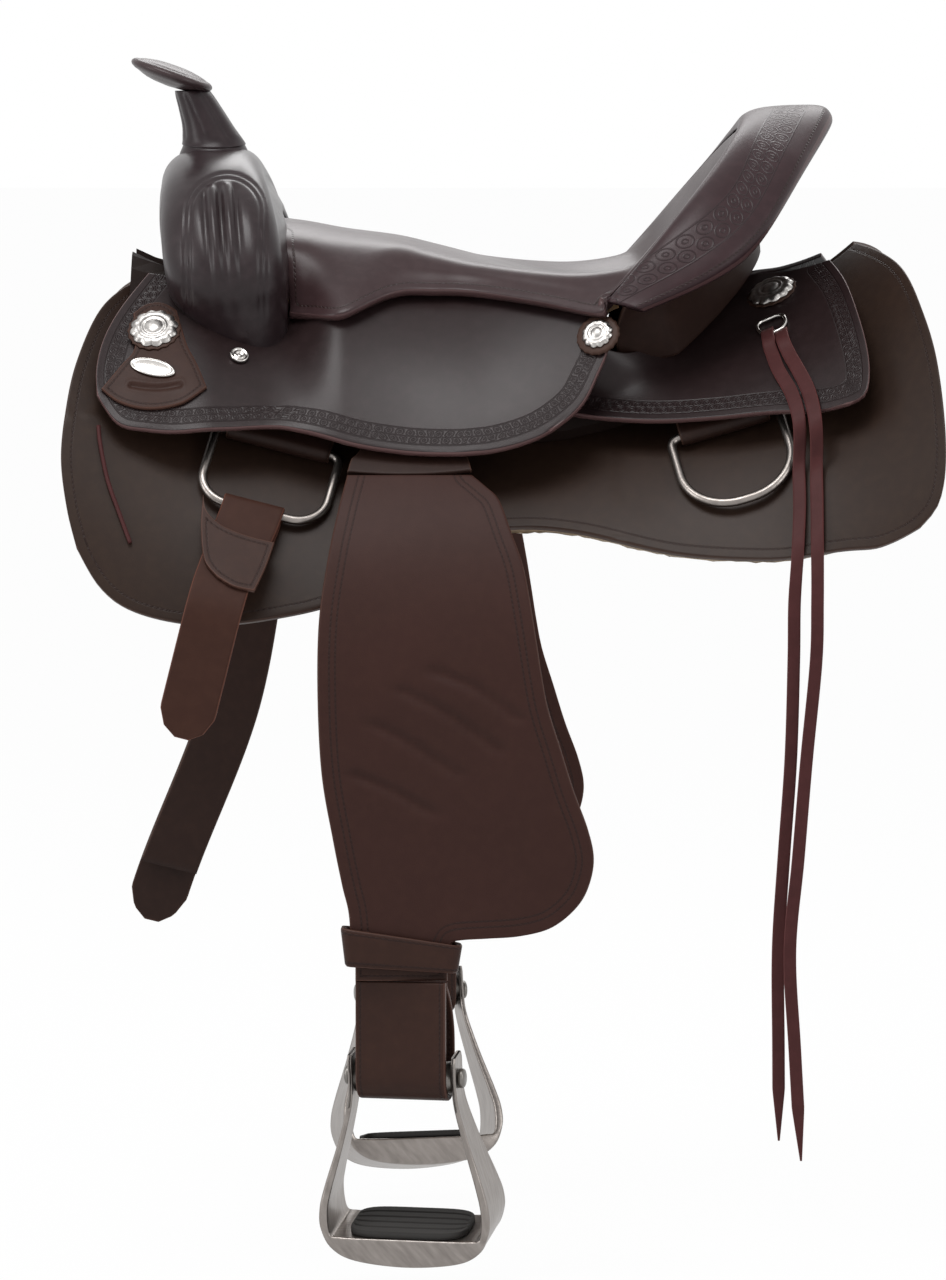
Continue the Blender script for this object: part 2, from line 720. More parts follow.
def build_seat(grid, swell_room):
    points = [p.copy() for row in grid for p in row]
    n = SEAT_COLUMNS + 1
    faces = []
    for i in range(SEAT_ROWS):
        for j in range(SEAT_COLUMNS):
            a = i * n + j
            faces.append((a, a + 1, a + n + 1, a + n))
    obj = node("seat", mesh_from(points, faces, fix_normals=False), SEAT_LEATHER)
    mirrored(obj)
    solid = obj.modifiers.new("thickness", "SOLIDIFY")
    solid.thickness = SEAT_LEATHER_THICK
    solid.offset = -1.0
    solid.use_even_offset = False
    cut(obj, swell_room, solver="MANIFOLD")


def under_seat(grid, i, j, gap):
    """Point under the seat leather, gap below it."""
    return grid[i][j] - seat_normal(grid, i, j) * (SEAT_LEATHER_THICK + gap)


def build_ground_seat(grid, swell_room):
    first = next(i for i in range(SEAT_ROWS) if grid[i][0].x > -0.150)
    last = max(i for i in range(SEAT_ROWS) if grid[i][0].x < 0.118)
    rings = []
    for i in range(first, last + 1, 1):
        top = [under_seat(grid, i, j, 0.0006) for j in range(SEAT_COLUMNS + 1)]
        top = [p for p in top if p.y > -0.068]
        top = [Vector(p) for p in spline([tuple(p) for p in top], 5)]
        top[0].y = 0.0
        bottom = [Vector((p.x, p.y, height_on(p.x, max(-p.y, 0.026), BAR_OUT + 0.0002))) for p in top]
        rings.append(top + bottom[::-1])
    count = len(rings[0])
    points = [p for ring in rings for p in ring]
    faces = []
    for r in range(len(rings) - 1):
        for i in range(count - 1):
            faces.append((r * count + i, r * count + i + 1, (r + 1) * count + i + 1, (r + 1) * count + i))
    faces.append(tuple(range(count)))
    faces.append(tuple((len(rings) - 1) * count + i for i in range(count)))
    obj = mirrored(node("ground_seat", mesh_from(points, faces), WOOD))
    cut(obj, swell_room, solver="MANIFOLD")


# Cheyenne roll, cantle board and cantle back


def roll_frame(t):
    g, o = groove(t), roll_edge(t)
    along = groove(min(t + 0.01, 1.2)) - groove(t - 0.01)
    out = (o - g).normalized()
    up = out.cross(along).normalized()
    return g, out, (o - g).length, up if up.z > 0 else -up


def build_roll():
    profile = [(0.000, 0.0016), (0.035, 0.0085), (0.11, 0.0125), (0.25, 0.0150), (0.45, 0.0150), (0.65, 0.0138),
               (0.85, 0.0118), (0.95, 0.0085), (1.0, 0.0015), (0.985, -0.0045), (0.93, -0.0070), (0.75, -0.0075),
               (0.56, -0.0070), (0.50, 0.0010), (0.25, 0.0010), (0.03, 0.0010)]
    rings = []
    for k in range(11):
        t = k / 10
        g, out, reach, up = roll_frame(t)
        fade = mix(1.0, 0.62, smooth_step((t - 0.45) / 0.55))
        ring = []
        for f, h in profile:
            p = g + out * (f * reach + 0.0008) + up * (h * (fade if h > 0.0012 or h < 0 else 1.0))
            ring.append(p)
        rings.append(ring)
    for p in rings[0]:
        p.y = 0.0
    obj = open_half("cheyenne_roll", rings, SEAT_LEATHER)
    return obj


def open_half(name, rings, look):
    """Half of a symmetric loft: open at the middle plane, closed at its far end, then mirrored."""
    count = len(rings[0])
    points = [p for ring in rings for p in ring]
    faces = []
    for r in range(len(rings) - 1):
        for i in range(count):
            j = (i + 1) % count
            faces.append((r * count + i, r * count + j, (r + 1) * count + j, (r + 1) * count + i))
    faces.append(tuple((len(rings) - 1) * count + i for i in range(count)))
    mesh = mesh_from(points, faces)
    return mirrored(node(name, mesh, look))


CANTLE_SPAN = 0.86
CANTLE_LEATHER = 0.0030


def cantle_back(t, f):
    """Outer face of the cantle under the roll, from its top (0) to the rear jockey (1)."""
    g, out, reach, up = roll_frame(t)
    top = g + out * (0.40 * reach) - up * 0.0012
    foot_x = mix(0.226, 0.150, smooth_step(t / CANTLE_SPAN) * 0.9)
    foot_y = 0.124 * math.sin(min(t / CANTLE_SPAN, 1.0) * math.pi / 2)
    foot = Vector((foot_x, -foot_y, height_on(foot_x, max(foot_y, 0.01), REAR_JOCKEY_IN + REAR_JOCKEY + 0.004)))
    p = top.lerp(foot, f)
    p.x -= 0.006 * math.sin(math.pi * f)
    return p


def build_cantle(grid):
    rings = []
    for k in range(SEAT_COLUMNS - 2):
        t = k / SEAT_COLUMNS
        face = [under_seat(grid, SEAT_ROWS - i, k, 0.0042) for i in (0, 1, 2, 3)]
        face[0] = face[0].lerp(face[1], 0.25)
        face[3] = face[3].lerp(face[2], 0.4 * k / SEAT_COLUMNS)
        rear = []
        for f in (0.70, 0.45, 0.22, 0.04):
            p = cantle_back(t, f)
            e = 0.004
            side = cantle_back(min(t + e, CANTLE_SPAN + e), f) - cantle_back(max(t - e, 0), f)
            fall = cantle_back(t, f + e) - cantle_back(t, f - e)
            normal = side.cross(fall).normalized()
            normal = normal if normal.x > 0 else -normal
            rear.append(p - normal * 0.0010)
        rings.append(face + rear)
    for p in rings[0]:
        p.y = 0.0
    open_half("cantle_board", rings, WOOD)
    columns, rows = 9, 5
    points = []
    for i in range(columns + 1):
        for j in range(rows + 1):
            p = cantle_back(CANTLE_SPAN * i / columns, j / rows)
            if i == 0:
                p.y = 0.0
            points.append(p)
    faces = []
    for i in range(columns):
        for j in range(rows):
            a = i * (rows + 1) + j
            faces.append((a, a + rows + 1, a + rows + 2, a + 1))
    obj = mirrored(node("cantle_back", mesh_from(points, faces, fix_normals=False), LEATHER))
    solid = obj.modifiers.new("thickness", "SOLIDIFY")
    solid.thickness = CANTLE_LEATHER
    solid.offset = 1.0


# Rings and rigging leathers


def ring_outline(wide, deep, top_r, bottom_r):
    """Centre line of a D ring's rod in its own plane, the straight bar along the top at zero."""
    half = wide / 2
    points = []
    for cx, cy, r, start in ((half - top_r, -top_r, top_r, 90), (half - bottom_r, -deep + bottom_r, bottom_r, 0),
                             (-half + bottom_r, -deep + bottom_r, bottom_r, -90),
                             (-half + top_r, -top_r, top_r, -180)):
        steps = 2 if r < 0.012 else 5
        for k in range(steps + 1):
            a = math.radians(start - 90 * k / steps)
            points.append((cx + r * math.cos(a), cy + r * math.sin(a)))
    return points


def ring_frame(side, x0, x1, s, deep, bar_offset, foot_offset):
    """Axes of a ring: along its bar towards the back, up its plane, and out from the horse."""
    a, b = form_point(side, x0, s, bar_offset), form_point(side, x1, s, bar_offset)
    middle = (a + b) / 2
    along = (b - a).normalized()
    low = form_point(side, middle.x, s + deep, foot_offset)
    down = (low - middle)
    down = (down - along * down.dot(along)).normalized()
    out = along.cross(down)
    if out.y * side < 0:
        out = -out
    return Matrix((along, -down, out)).transposed().to_4x4(), middle


BAR_PLACE = 0.0039 + RIG_IN + RIG_LEATHER
FRONT_BAR_S = 0.168
REAR_BAR_S = 0.172


def build_ring(side, tag, which):
    front = which == "front"
    x0, x1 = (-0.1985, -0.0995) if front else (0.147, 0.238)
    wide, deep = (FRONT_RING_WIDE, FRONT_RING_DEEP) if front else (REAR_RING_WIDE, REAR_RING_DEEP)
    s = FRONT_BAR_S if front else REAR_BAR_S
    turn, middle = ring_frame(side, x0, x1, s, deep, BAR_PLACE, BAR_PLACE + (0.001 if front else 0.0012))
    outline = ring_outline(wide - RING_ROD, deep - RING_ROD / 2, 0.008, 0.024 if front else 0.040)
    obj = rod(f"{which}_ring_{tag}", [(u, v, 0.0) for u, v in outline], RING_ROD / 2, BRUSHED, True, 2)
    obj.matrix_world = Matrix.Translation(middle) @ turn
    frame = obj.matrix_world.copy()
    # rigging leather folded round the bar, both plies running up to the tree bar
    half = wide / 2 - RING_ROD - 0.0048
    fold = RING_ROD / 2 + RING_PLAY
    path = [(0.015, -fold), (0.004, -fold)]
    path += [(-fold * math.sin(math.radians(a)), -fold * math.cos(math.radians(a))) for a in range(0, 181, 30)]
    path += [(0.004, fold), (0.015, fold)]
    points, faces = [], []
    for v, w in path:
        for k in range(4):
            points.append(frame @ Vector((mix(-half, half, k / 3), v, w)))
    for r in range(len(path) - 1):
        for k in range(3):
            a = r * 4 + k
            quad = (a, a + 1, a + 5, a + 4)
            faces.append(quad if side < 0 else quad[::-1])
    leather = node(f"{which}_rigging_{tag}", mesh_from(points, faces, fix_normals=False), LEATHER)
    solid = leather.modifiers.new("thickness", "SOLIDIFY")
    solid.thickness = RIG_LEATHER
    solid.offset = 1.0
    return frame


# Fenders and stirrup leathers


def fender_start():
    """Distance from the middle, height and slope where the fender bends at its top."""
    s = s_of(PIVOT_X, FLEX_Z, TONGUE_IN + 0.0015)
    y, z = on_form(PIVOT_X, s, TONGUE_IN + 0.0015)
    start, curve, _, _ = arc_at(PIVOT_X)
    return y, z, start + curve * s, s


def fender_path(z):
    """Inner face of the fender: distance from the middle and slope at height z."""
    y0, z0, slope, _ = fender_start()
    cosine = math.cos(slope) + (z - z0) / FENDER_RADIUS
    if cosine <= 0:
        return y0 + FENDER_RADIUS * (1 - math.sin(slope)), math.pi / 2
    angle = math.acos(cosine)
    return y0 + FENDER_RADIUS * (math.sin(angle) - math.sin(slope)), angle


def on_fender(side, x, z, inwards=0.0):
    y, slope = fender_path(z)
    return Vector((x, side * (y - inwards * math.sin(slope)), z - inwards * math.cos(slope)))


def build_fender(side, tag):
    y0, z0, slope, flex_s = fender_start()
    pivot_s = s_of(PIVOT_X, PIVOT_Z, TONGUE_IN)
    py, pz = on_form(PIVOT_X, pivot_s, TONGUE_IN)
    pivot = Vector((PIVOT_X, side * py, pz))
    hinge = on_fender(side, PIVOT_X, z0, -FENDER)

    def tongue_at(x, s):
        r2 = (s - pivot_s) ** 2 + (x - PIVOT_X) ** 2
        lift = 0.9 * min(r2, 0.0409**2)
        y, z = on_form(PIVOT_X, s, TONGUE_IN + lift)
        return Vector((x, side * y, z))

    low, high = flex_s - 0.0004, pivot_s - 0.030
    neck = 0.036
    edges = (
        [(-0.0960, low), (-0.0486, low), (-0.0010, low)],
        [(-0.0010, low), (-0.0040, low - 0.012), (PIVOT_X + neck, low - 0.032), (PIVOT_X + neck, high)],
        [(PIVOT_X - neck, high), (PIVOT_X, high), (PIVOT_X + neck, high)],
        [(-0.0960, low), (-0.0930, low - 0.012), (PIVOT_X - neck, low - 0.032), (PIVOT_X - neck, high)],
    )
    tongue = draped(f"fender_tongue_{tag}", side, edges, None, TONGUE, 6, 9, LEATHER, at=tongue_at)
    origin_at(tongue, pivot)

    top = z0 - 0.0001
    foot = FENDER_FOOT
    tail = 0.0380
    middle = PIVOT_X - 0.0056
    left = [(middle - tail, foot), (-0.0940, -0.407), (-0.099, -0.385), (-0.106, -0.350), (-0.1145, -0.300),
            (-0.1175, -0.240), (-0.1165, -0.185), (-0.110, -0.140), (-0.103, -0.107), (-0.0960, top)]
    right = [(middle + tail, foot), (middle + tail, -0.4288), (-0.0085, -0.4262), (0.012, -0.4250), (0.036, -0.4232),
             (0.059, -0.4170), (0.077, -0.4030), (0.087, -0.3870), (0.0915, -0.3650), (0.087, -0.3420),
             (0.076, -0.3120), (0.0665, -0.2815), (0.057, -0.2510), (0.052, -0.2255), (0.048, -0.2000),
             (0.0435, -0.1725), (0.038, -0.1450), (0.029, -0.1205), (0.020, -0.0980), (0.010, -0.0885),
             (-0.0010, top)]
    edges = ([left[0], (middle, foot), right[0]], right, [left[-1], (PIVOT_X, top), right[-1]], left)
    fender = draped(f"fender_{tag}", side, edges, None, FENDER, 8, 20, LEATHER,
                    at=lambda x, z: on_fender(side, x, z))
    origin_at(fender, hinge)

    half = STRAP_WIDE / 2
    gap = 0.0006
    strap_edges = (
        [(middle - half, TURN_CUT), (middle, TURN_CUT), (middle + half, TURN_CUT)],
        [(middle + half, TURN_CUT), (middle + half, -0.25), (middle + half, top - 0.001)],
        [(middle - half, top - 0.001), (middle, top - 0.001), (middle + half, top - 0.001)],
        [(middle - half, TURN_CUT), (middle - half, -0.25), (middle - half, top - 0.001)],
    )
    strap = draped(f"stirrup_leather_{tag}", side, strap_edges, None, STRAP, 2, 18, LEATHER,
                   at=lambda x, z: on_fender(side, x, z, STRAP + gap))
    origin_at(strap, hinge)

    # hobble strap: a flared band round the leathers, wider at the top
    y_in = fender_path(TURN_CUT)[0]
    inner, outer = y_in - STRAP - gap - 0.0008, y_in + FENDER + 0.0008
    wide = tail + 0.0012
    wall = 0.0035

    def loop(grow_x, grow_y, heights):
        x0, x1 = middle - wide - grow_x, middle + wide + grow_x
        y0_, y1_ = inner - grow_y, outer + grow_y
        corner = 0.0025 + grow_y
        ring = []
        for cx, cy, start in ((x1 - corner, y1_ - corner, 0), (x0 + corner, y1_ - corner, 90),
                              (x0 + corner, y0_ + corner, 180), (x1 - corner, y0_ + corner, 270)):
            for k in range(3):
                a = math.radians(start + 45 * k)
                x = cx + corner * math.cos(a)
                z = mix(heights[0], heights[1], (x - x0) / (x1 - x0))
                ring.append(Vector((x, side * (cy + corner * math.sin(a)), z)))
        return ring

    top_z, low_z = (-0.4165, -0.4300), (-0.4460, -0.4510)
    rings = [loop(wall, wall, low_z), loop(wall + 0.0035, wall + 0.0015, top_z),
             loop(0.0030, 0.0012, top_z), loop(0.0, 0.0, low_z)]
    count = len(rings[0])
    points = [p for ring in rings for p in ring]
    faces = []
    for r in range(4):
        for i in range(count):
            j = (i + 1) % count
            n = (r + 1) % 4
            faces.append((r * count + i, r * count + j, n * count + j, n * count + i))
    hobble = node(f"hobble_strap_{tag}", mesh_from(points, faces), LEATHER)
    origin_at(hobble, hinge)
    return middle, y_in - gap - STRAP / 2


# Stirrup, its bolt and the loop of leather round it, turned about the leathers' own line


def build_stirrup(side, tag, turn_x, turn_y):
    turn = Matrix.Translation((turn_x, side * turn_y, 0.0)) @ Matrix.Rotation(side * STIRRUP_YAW, 4, "Z")
    half = STRAP_WIDE / 2
    inner = SLEEVE_RADIUS + 0.0005
    out = 0.0010
    centre = out - inner
    top = TURN_CUT - TURN_GAP
    drop = lambda share: mix(BOLT_Z, top, share)
    path = [(out, top), (out, drop(0.78)), (out, drop(0.44)), (out, BOLT_Z)]
    path += [(centre + inner * math.cos(math.radians(a)), BOLT_Z - inner * math.sin(math.radians(a)))
             for a in range(18, 180, 18)]
    back = centre - inner
    path += [(back, BOLT_Z), (back, drop(0.28)), (back + 0.0015, drop(0.48)), (back + 0.0075, drop(0.67)),
             (back + 0.0165, drop(0.83)), (-0.0002, drop(0.934)), (0.0, top)]
    points, faces = [], []
    for n, z in path:
        for x in (-half, 0.0, half):
            points.append(turn @ Vector((x, side * n, z)))
    for r in range(len(path) - 1):
        for k in range(2):
            a = r * 3 + k
            quad = (a, a + 1, a + 4, a + 3)
            faces.append(quad[::-1] if side < 0 else quad)
    loop = node(f"stirrup_loop_{tag}", mesh_from(points, faces, fix_normals=False), LEATHER)
    solid = loop.modifiers.new("thickness", "SOLIDIFY")
    solid.thickness = LOOP_LEATHER
    solid.offset = 1.0
    solid.use_even_offset = True
    origin_at(loop, (turn_x, side * turn_y, BOLT_Z))

    bolt_place = turn @ Matrix.Translation((0.0, side * centre, BOLT_Z))
    sleeve = EYE_HALF - BAND / 2 - 0.0007
    head_in = EYE_HALF + BAND / 2 + 0.0004
    profile = [(0.0, head_in + 0.0045), (0.0050, head_in + 0.0045), (0.0075, head_in + 0.0030), (0.0075, head_in),
               (BOLT_RADIUS, head_in), (BOLT_RADIUS, sleeve), (SLEEVE_RADIUS, sleeve)]
    profile = profile + [(r, -z) for r, z in profile[::-1]]
    turned(f"stirrup_bolt_{tag}", profile, 12, STEEL, bolt_place @ Matrix.Rotation(math.pi / 2, 4, "Y"))

    # band: outer and inner edge of each section, and half its width; x from the middle, z from the bolt
    sections = [
        (0.0423, 0.0190, 0.0387, 0.0190, 0.0095), (0.0423, 0.0130, 0.0387, 0.0130, 0.0125),
        (0.0423, -0.0050, 0.0387, -0.0050, 0.0130), (0.0442, -0.0220, 0.0404, -0.0225, 0.0140),
        (0.0525, -0.0520, 0.0480, -0.0535, 0.0180), (0.0625, -0.0830, 0.0565, -0.0840, 0.0240),
        (0.0665, -0.1000, 0.0600, -0.1010, 0.0280), (0.0660, -0.1150, 0.0585, -0.1195, 0.0300),
        (0.0585, -0.1310, 0.0510, -0.1215, 0.0305), (0.0400, -0.1410, 0.0360, -0.1220, 0.0305),
        (0.0, -0.1450, 0.0, -0.1220, 0.0305),
    ]
    place = bolt_place @ Matrix.Rotation(-side * STIRRUP_TILT, 4, "X")
    rings = []
    for xo, zo, xi, zi, wide in sections[::-1]:
        rings.append([Vector((xo, -wide, zo)), Vector((xo, wide, zo)), Vector((xi, wide, zi)),
                      Vector((xi, -wide, zi))])
    count = 4
    points = [p for ring in rings for p in ring]
    faces = []
    for r in range(len(rings) - 1):
        for i in range(count):
            j = (i + 1) % count
            faces.append((r * count + i, r * count + j, (r + 1) * count + j, (r + 1) * count + i))
    faces.append(tuple((len(rings) - 1) * count + i for i in range(count)))
    stirrup = node(f"stirrup_{tag}", mesh_from(points, faces), BRUSHED)
    step = stirrup.modifiers.new("other_arm", "MIRROR")
    step.use_axis = (True, False, False)
    step.merge_threshold = 0.0001
    stirrup.matrix_world = place
    hole = turned(f"bolt_hole_{tag}", [(0.0, 0.06), (BOLT_RADIUS + HOLE_PLAY, 0.06),
                                       (BOLT_RADIUS + HOLE_PLAY, -0.06), (0.0, -0.06)],
                  16, STEEL, bolt_place @ Matrix.Rotation(math.pi / 2, 4, "Y"), CUTTERS)
    cut(stirrup, hole, solver="MANIFOLD")

    # ribbed tread pad on the band's flat
    ribs, pad_half, base, tall = 5, 0.0285, -0.1214, 0.0046
    outline = [(-pad_half, base), (pad_half, base), (pad_half, base + tall)]
    for k in range(ribs):
        u1 = pad_half - 2 * pad_half * k / ribs
        u0 = pad_half - 2 * pad_half * (k + 1) / ribs
        w = (u1 - u0) * 0.22
        if k < ribs - 1:
            outline += [(u0 + w, base + tall), (u0 + w * 0.6, base + tall * 0.6), (u0 - w * 0.6, base + tall * 0.6),
                        (u0 - w, base + tall)]
    outline.append((-pad_half, base + tall))
    curve = bpy.data.curves.new("tread", "CURVE")
    curve.dimensions = "2D"
    curve.fill_mode = "BOTH"
    curve.extrude = 0.0465
    line = curve.splines.new("POLY")
    line.points.add(len(outline) - 1)
    for slot, (u, z) in zip(line.points, outline):
        slot.co = (u, z, 0.0, 1.0)
    line.use_cyclic_u = True
    tread = bpy.data.objects.new(f"stirrup_tread_{tag}", curve)
    PARTS.objects.link(tread)
    curve.materials.append(RUBBER)
    # curve's X runs across the tread, its Y up, its Z along the tread
    tread.matrix_world = place @ Matrix(((0, 0, 1, 0), (1, 0, 0, 0), (0, 1, 0, 0), (0, 0, 0, 1)))


# Straps that hang from the front rings

STRAP_PLY = 0.0030
LATIGO_HALF = 0.0235


class Hanging:
    """A folded strap hung on a ring's lower bar: it follows the ring's plane, then turns to hang plumb."""

    def __init__(self, frame, deep, ease=0.075, turn=0.040):
        self.frame = frame
        self.low = -(deep - RING_ROD / 2)
        plumb = frame.to_3x3().inverted() @ Vector((0, 0, -1))
        self.bend = math.atan2(plumb.z, -plumb.y)
        self.ease, self.turn = ease, turn
        self.fold = RING_ROD / 2 + RING_PLAY

    def spot(self, length):
        """Position and direction angle in the ring's plane of heights (v) and depth (w)."""
        v, w, steps = self.low, 0.0, max(int(length / 0.002), 1)
        angle = 0.0
        for k in range(steps):
            at = length * (k + 0.5) / steps
            angle = self.bend * smooth_step((at - self.ease) / self.turn)
            v -= math.cos(angle) * length / steps
            w += math.sin(angle) * length / steps
        return v, w, angle

    def point(self, u, length, out):
        v, w, angle = self.spot(length)
        return self.frame @ Vector((u, v + out * math.sin(angle), w + out * math.cos(angle)))

    def crown(self, u, degrees):
        a = math.radians(degrees)
        return self.frame @ Vector((u, self.low + self.fold * math.sin(a), -self.fold * math.cos(a)))


def strap_mesh(name, rows, side, thick, look, sign=1.0):
    points = [p for row in rows for p in row]
    n = len(rows[0])
    faces = []
    for r in range(len(rows) - 1):
        for k in range(n - 1):
            a = r * n + k
            quad = (a, a + 1, a + n + 1, a + n)
            faces.append(quad if side > 0 else quad[::-1])
    obj = node(name, mesh_from(points, faces, fix_normals=False), look)
    solid = obj.modifiers.new("thickness", "SOLIDIFY")
    solid.thickness = thick
    solid.offset = sign
    solid.use_even_offset = True
    return obj


def hung_strap(name, side, hang, back_length, front_length, half, drift, tip, look):
    """Both plies of a strap over a ring: up the back, over the bar and down the front to a blunt point."""
    rows = []
    def row(place, length, share=1.0):
        u = drift(length)
        return [place(u - half(length) * share), place(u), place(u + half(length) * share)]
    steps = max(int(back_length / 0.030), 2)
    for k in range(steps + 1):
        length = back_length * (1 - k / steps)
        rows.append(row(lambda u, q=length: hang.point(u, q, -hang.fold), length))
    for a in (30, 60, 90, 120, 150):
        rows.append(row(lambda u, q=a: hang.crown(u, q), 0.0))
    steps = max(int(front_length / 0.022), 4)
    for k in range(steps + 1):
        length = (front_length - tip) * k / steps
        rows.append(row(lambda u, q=length: hang.point(u, q, hang.fold), length))
    for share, q in ((0.72, front_length - tip * 0.35), (0.25, front_length)):
        rows.append(row(lambda u, w=q: hang.point(u, w, hang.fold), q, share))
    obj = strap_mesh(name, rows, side, STRAP_PLY, look)
    return origin_at(obj, hang.frame @ Vector((0, hang.low, 0)))


def build_latigo(side, frame):
    hang = Hanging(frame, FRONT_RING_DEEP)
    hung_strap("latigo", side, hang, 0.030, 0.196,
               lambda q: mix(LATIGO_HALF, 0.0215, smooth_step((q - 0.02) / 0.05)),
               lambda q: -0.004 - 0.006 * smooth_step(q / 0.08), 0.020, LACE_LEATHER)
    out = hang.fold + STRAP_PLY + 0.0006
    left = [(-0.014, 0.074), (-0.027, 0.062), (-0.037, 0.034), (-0.043, 0.004)]
    top = [(-0.043, 0.004), (-0.037, 0.018), (-0.024, 0.027), (-0.004, 0.031), (0.020, 0.031)]
    right = [(0.016, 0.078), (0.019, 0.055), (0.020, 0.031)]
    low = [(-0.014, 0.074), (0.000, 0.0785), (0.016, 0.078)]
    low, right, top, left = (spline(e, n) for e, n in zip((low, right, top, left), (8, 6, 8, 6)))
    rows = []
    for j in range(7):
        row = []
        for i in range(9):
            u, q = coons(low, right, top, left, i / 8, j / 6)
            row.append(hang.point(u, q, out))
        rows.append(row)
    cuff = strap_mesh("latigo_cuff", rows, -side, STRAP_PLY, LEATHER)
    origin_at(cuff, frame @ Vector((0, hang.low, 0)))


def build_billet(side, frame):
    hang = Hanging(frame, FRONT_RING_DEEP)
    hung_strap("off_billet", side, hang, 0.355, 0.402, lambda q: 0.0235,
               lambda q: 0.002 + 0.014 * smooth_step(q / 0.2) - 0.020 * smooth_step((q - 0.2) / 0.2), 0.024, LEATHER)


# Trim on the jockeys


def surface_frame(side, x, z, offset_at, lift, lean=0.0):
    """Matrix on a draped surface whose offset is offset_at(x, s), Z out of the surface."""
    offset = offset_at(x, 0.15)
    for _ in range(8):
        s = s_of(x, z, offset)
        offset = offset_at(x, s)
    e = 0.004
    def at(px, ps):
        return form_point(side, px, ps, offset_at(px, ps))
    along, down = at(x + e, s) - at(x - e, s), at(x, s + e) - at(x, s - e)
    normal = along.cross(down).normalized()
    if normal.z < 0:
        normal = -normal
    along = (along - normal * along.dot(normal)).normalized()
    across = normal.cross(along)
    turn = Matrix((along, across, normal)).transposed().to_4x4()
    return Matrix.Translation(at(x, s) + normal * lift) @ turn @ Matrix.Rotation(lean, 4, "Z")


def on_jockey(x, s):
    return jockey_offset(x, s) + JOCKEY


def on_rear(x, s):
    return rear_in(x, s) + REAR_JOCKEY


def concho_profile(radius, dome):
    return [(0.0, dome), (radius * 0.30, dome * 0.95), (radius * 0.45, dome * 0.72), (radius * 0.80, dome * 0.55),
            (radius, 0.0010), (radius, 0.0), (0.0, 0.0)]


KEEPER = 0.0030


def build_trim(side, tag):
    # middle: leather rosette with a small concho at the corner of the seat jockey
    seat = surface_frame(side, 0.0965, 0.0265, on_jockey, 0.0010)
    if side < 0:
        turned("rosette_near", [(0.0, 0.0030), (0.0165, 0.0030), (0.0175, 0.0022), (0.0175, 0.0006), (0.0170, 0.0),
                                (0.0, 0.0)], 18, LEATHER, seat)
        seat = seat @ Matrix.Translation((0, 0, 0.0034))
    turned(f"middle_concho_{tag}", concho_profile(0.0125, 0.0045), 16, SILVER, seat)
    rear = surface_frame(side, 0.2320, 0.0560, on_rear, 0.0016)
    turned(f"rear_concho_{tag}", concho_profile(0.0190, 0.0055), 20, SILVER, rear)
    ring = surface_frame(side, 0.2315, 0.0305, on_rear, 0.0024)
    outline = [(u, v + 0.011, 0.0) for u, v in ring_outline(0.0225, 0.0200, 0.006, 0.0105)]
    tie = rod(f"tie_ring_{tag}", outline, 0.0015, SILVER, True, 1)
    flip = 1.0 if side < 0 else -1.0
    tie.matrix_world = ring @ Matrix.Diagonal((1, flip, flip, 1))
    if side > 0:
        return
    screw = surface_frame(side, -0.180, 0.0095, on_jockey, 0.0010)
    turned("tree_screw_near", [(0.0, 0.0022), (0.0032, 0.0022), (0.0040, 0.0012), (0.0052, 0.0012), (0.0062, 0.0024),
                                 (0.0072, 0.0020), (0.0076, 0.0), (0.0, 0.0)], 16, SILVER, screw)


def build_keeper(side, tag):
    def edge(points):
        return [(x, s_of(x, z, jockey_in(x, z) + JOCKEY)) for x, z in points]
    low = edge([(-0.2845, -0.0150), (-0.271, -0.0250), (-0.247, -0.0300), (-0.222, -0.0255), (-0.2035, -0.0140)])
    top = edge([(-0.262, 0.040), (-0.252, 0.0465), (-0.240, 0.0475), (-0.2285, 0.0420)])
    left = edge([(-0.2845, -0.0150), (-0.2700, 0.0020), (-0.2600, 0.0150), (-0.262, 0.040)])
    right = edge([(-0.2035, -0.0140), (-0.2120, 0.0040), (-0.2200, 0.0180), (-0.2285, 0.0420)])
    keeper = draped(f"latigo_keeper_{tag}", side, (low, right, top, left),
                    lambda x, s: jockey_offset(x, s) + JOCKEY + 0.0007, KEEPER, 8, 8, LEATHER)
    place = surface_frame(side, -0.2430, -0.0135, on_jockey, 0.0, math.radians(-4))
    work = bmesh.new()
    bmesh.ops.create_cube(work, size=1.0, matrix=Matrix.Diagonal((0.044, 0.0045, 0.020, 1.0)))
    mesh = bpy.data.meshes.new("slot")
    work.to_mesh(mesh)
    work.free()
    slot = node(f"keeper_slot_{tag}", mesh, LEATHER, CUTTERS)
    slot.matrix_world = place
    cut(keeper, slot)
    top_of = KEEPER + 0.0007
    front = surface_frame(side, -0.2450, 0.0270, on_jockey, top_of + 0.0013)
    turned(f"front_concho_{tag}", concho_profile(0.0190, 0.0055), 20, SILVER, front)
    plate = surface_frame(side, -0.2450, -0.0010, on_jockey, top_of + 0.0012)
    plate = plate @ Matrix.Diagonal((1.0, 0.40, 1.0, 1.0))
    turned(f"oval_plate_{tag}", [(0.0, 0.0014), (0.0165, 0.0012), (0.0190, 0.0004), (0.0190, 0.0), (0.0, 0.0)], 20,
           SILVER, plate)


# Loose laces


def lace_path(side, laid, free, shift):
    """Inner face of one edge of a lace: laid on a surface, then hanging free."""
    points = []
    for x, z, o in laid:
        points.append(form_point(side, x + shift, s_of(x, z, o), o))
    points += [Vector((x + shift, side * y, z)) for x, y, z in free]
    return [Vector(p) for p in spline([tuple(p) for p in points], 28)]


STRING_HALF = 0.0048
STRING_THICK = 0.0022


